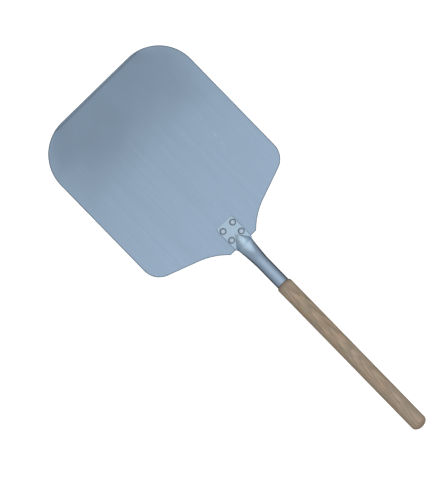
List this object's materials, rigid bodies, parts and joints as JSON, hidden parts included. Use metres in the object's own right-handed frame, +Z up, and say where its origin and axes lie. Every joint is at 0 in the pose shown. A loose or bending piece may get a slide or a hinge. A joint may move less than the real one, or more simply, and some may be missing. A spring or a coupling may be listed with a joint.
{
  "type": "pizza peel",
  "caption": "Pizza peel: a flat round-cornered metal blade riveted to a flattened tube socket that rises to a turned wooden handle.",
  "frame": {"origin": "middle of the blade's flat underside, halfway between the front lip and the neck's edge", "axes": "+X from the blade towards the handle's end, +Y across the blade, +Z up from the face of the blade that carries the pizza"},
  "size_m": [0.7865, 0.305, 0.0721],
  "materials": {
    "blade_sheet": "satin rolled sheet",
    "tube_metal": "satin drawn tube",
    "rivet_metal": "bright, with light hammer marks",
    "handle_wood": "turned, weathered, unvarnished",
    "screw_steel": "zinc plated"
  },
  "bodies": {
    "root": {"blade": "blade_sheet", "socket_tube": "tube_metal", "rivet_front_left": "rivet_metal", "rivet_front_right": "rivet_metal", "rivet_rear_left": "rivet_metal", "rivet_rear_right": "rivet_metal", "handle": "handle_wood", "handle_screw": "screw_steel"}
  },
  "joints": []
}
